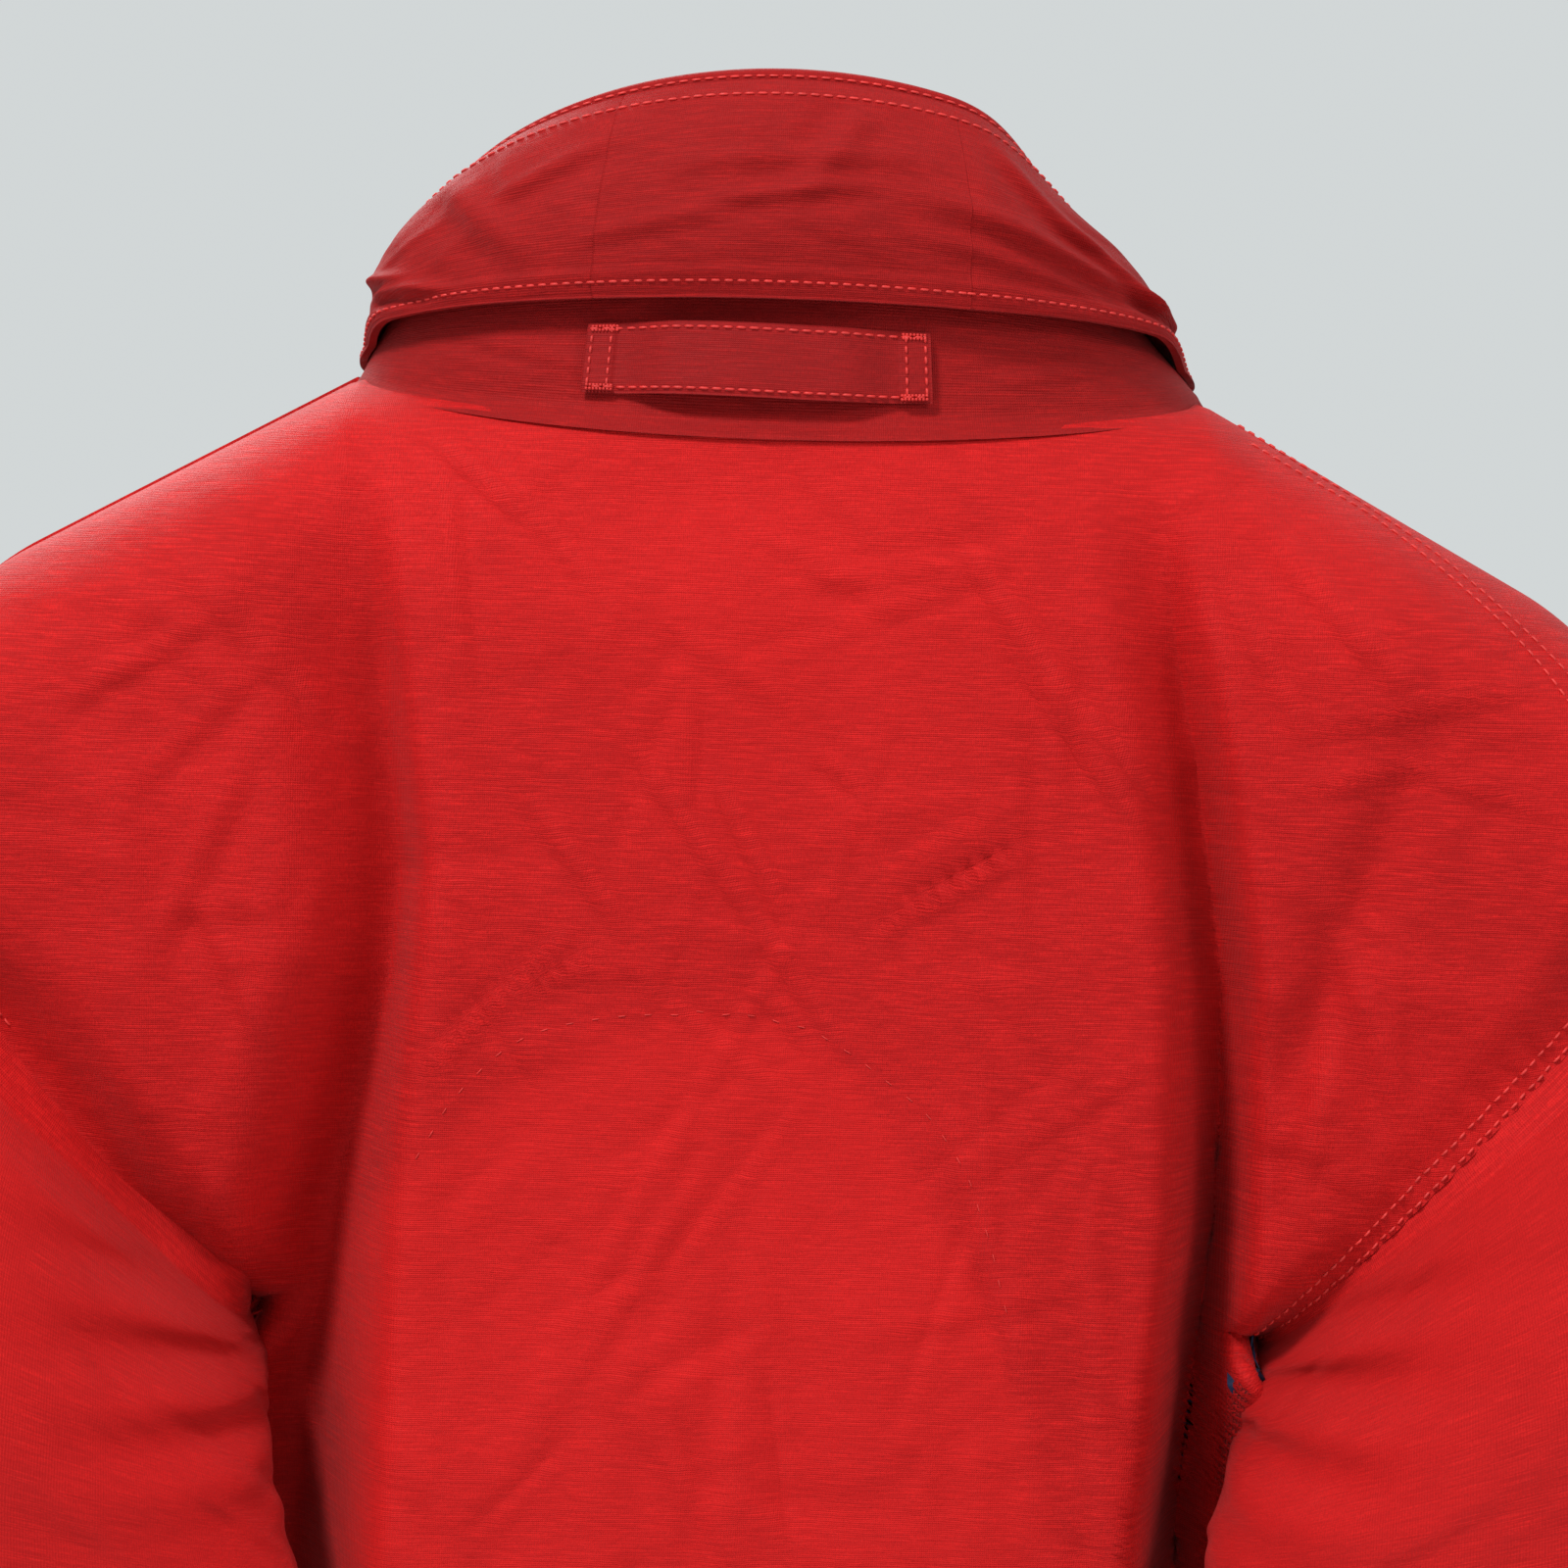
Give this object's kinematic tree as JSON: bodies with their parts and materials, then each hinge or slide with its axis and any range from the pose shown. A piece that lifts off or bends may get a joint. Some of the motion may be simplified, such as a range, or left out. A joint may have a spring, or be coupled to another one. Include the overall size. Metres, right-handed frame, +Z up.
{
  "type": "foul weather jacket",
  "caption": "Hip-length hooded sailing jacket, hanging closed: front zip under a snapped storm flap, hood rolled in the stand-up collar, hanging loop, bellows pockets and tabbed cuffs.",
  "frame": {"origin": "the seat on the hanger: the middle of the neck opening, at the height of the neck's two sides", "axes": "+Z up, the front of the jacket faces -Y, the wearer's left is +X"},
  "size_m": [0.7076, 0.1952, 0.8466],
  "materials": {
    "red_cloth": "matte",
    "red_facing": "matte",
    "navy_lining": "matte",
    "red_webbing": "matte",
    "black_tape": "matte",
    "red_tape": "matte",
    "tooth_plastic": "satin",
    "cast_metal": "satin",
    "plate_metal": "satin"
  },
  "bodies": {
    "torso": {"back_panel": "red_cloth", "left_front_panel": "red_cloth", "right_front_panel": "red_cloth", "back_lining": "navy_lining", "back_facing": "red_facing", "left_front_lining": "navy_lining", "right_front_lining": "navy_lining", "collar_band": "red_cloth", "collar_lining": "navy_lining", "left_hood_cover": "red_cloth", "right_hood_cover": "red_cloth", "rolled_hood": "red_cloth", "pouch_loop_tape": "black_tape", "locker_loop": "red_webbing", "left_zip_tape": "red_tape", "right_zip_tape": "red_tape", "left_zip_teeth": "tooth_plastic", "right_zip_teeth": "tooth_plastic", "left_zip_top_stop": "tooth_plastic", "right_zip_top_stop": "tooth_plastic", "zip_retainer_box": "tooth_plastic", "inner_wind_flap": "red_cloth", "storm_snap_stud_1": "plate_metal", "storm_snap_stud_2": "plate_metal", "storm_snap_stud_3": "plate_metal", "storm_snap_stud_4": "plate_metal", "storm_snap_stud_5": "plate_metal", "left_pocket": "red_cloth", "right_pocket": "red_cloth", "left_pocket_snap_stud": "plate_metal", "right_pocket_snap_stud": "plate_metal", "back_hem_band": "red_cloth", "left_front_hem_band": "red_cloth", "right_front_hem_band": "red_cloth", "left_hem_eyelet": "plate_metal", "right_hem_eyelet": "plate_metal"},
    "left_sleeve": {"left_sleeve": "red_cloth", "left_cuff_band": "red_cloth", "left_cuff_loop_patch": "black_tape"},
    "right_sleeve": {"right_sleeve": "red_cloth", "right_cuff_band": "red_cloth", "right_cuff_loop_patch": "black_tape"},
    "left_cuff_tab": {"left_cuff_tab": "red_cloth"},
    "right_cuff_tab": {"right_cuff_tab": "red_cloth"},
    "hood_flap": {"hood_flap": "red_cloth"},
    "storm_flap": {"storm_flap": "red_cloth", "storm_snap_cap_1": "plate_metal", "storm_snap_cap_2": "plate_metal", "storm_snap_cap_3": "plate_metal", "storm_snap_cap_4": "plate_metal", "storm_snap_cap_5": "plate_metal"},
    "zip_slider": {"zip_slider": "cast_metal"},
    "zip_pull": {"zip_pull": "cast_metal"},
    "left_pocket_flap": {"left_pocket_flap": "red_cloth", "left_pocket_snap_cap": "plate_metal"},
    "right_pocket_flap": {"right_pocket_flap": "red_cloth", "right_pocket_snap_cap": "plate_metal"}
  },
  "joints": [
    {"name": "left_sleeve_swing", "type": "hinge", "parent": "torso", "child": "left_sleeve", "pos_m": [0.2225, 0, -0.0923], "axis": [0, -1, 0], "range_deg": [0, 40]},
    {"name": "right_sleeve_swing", "type": "hinge", "parent": "torso", "child": "right_sleeve", "pos_m": [-0.2225, 0, -0.0923], "axis": [0, 1, 0], "range_deg": [0, 40]},
    {"name": "left_cuff_tab_hinge", "type": "hinge", "parent": "left_sleeve", "child": "left_cuff_tab", "pos_m": [0.2249, 0.0692, -0.6418], "axis": [-0.2322, 0, 0.9727], "range_deg": [0, 100]},
    {"name": "right_cuff_tab_hinge", "type": "hinge", "parent": "right_sleeve", "child": "right_cuff_tab", "pos_m": [-0.2249, 0.0692, -0.6418], "axis": [-0.2322, 0, -0.9727], "range_deg": [0, 100]},
    {"name": "hood_flap_hinge", "type": "hinge", "parent": "torso", "child": "hood_flap", "pos_m": [0, 0.0624, 0.0722], "axis": [1, 0, 0], "range_deg": [0, 20]},
    {"name": "storm_flap_hinge", "type": "hinge", "parent": "torso", "child": "storm_flap", "pos_m": [0.038, -0.082, -0.41], "axis": [0, 0, 1], "range_deg": [0, 110]},
    {"name": "zip_slide", "type": "slide", "parent": "torso", "child": "zip_slider", "axis": [0, 0, -1], "range_m": [0, 0.724]},
    {"name": "zip_pull_hinge", "type": "hinge", "parent": "zip_slider", "child": "zip_pull", "pos_m": [0, -0.0846, -0.019], "axis": [-1, 0, 0], "range_deg": [0, 150]},
    {"name": "left_pocket_flap_hinge", "type": "hinge", "parent": "torso", "child": "left_pocket_flap", "pos_m": [0.1422, -0.0719, -0.508], "axis": [-0.9949, -0.1005, 0], "range_deg": [0, 110]},
    {"name": "right_pocket_flap_hinge", "type": "hinge", "parent": "torso", "child": "right_pocket_flap", "pos_m": [-0.1422, -0.0719, -0.508], "axis": [-0.9949, 0.1005, 0], "range_deg": [0, 110]}
  ]
}
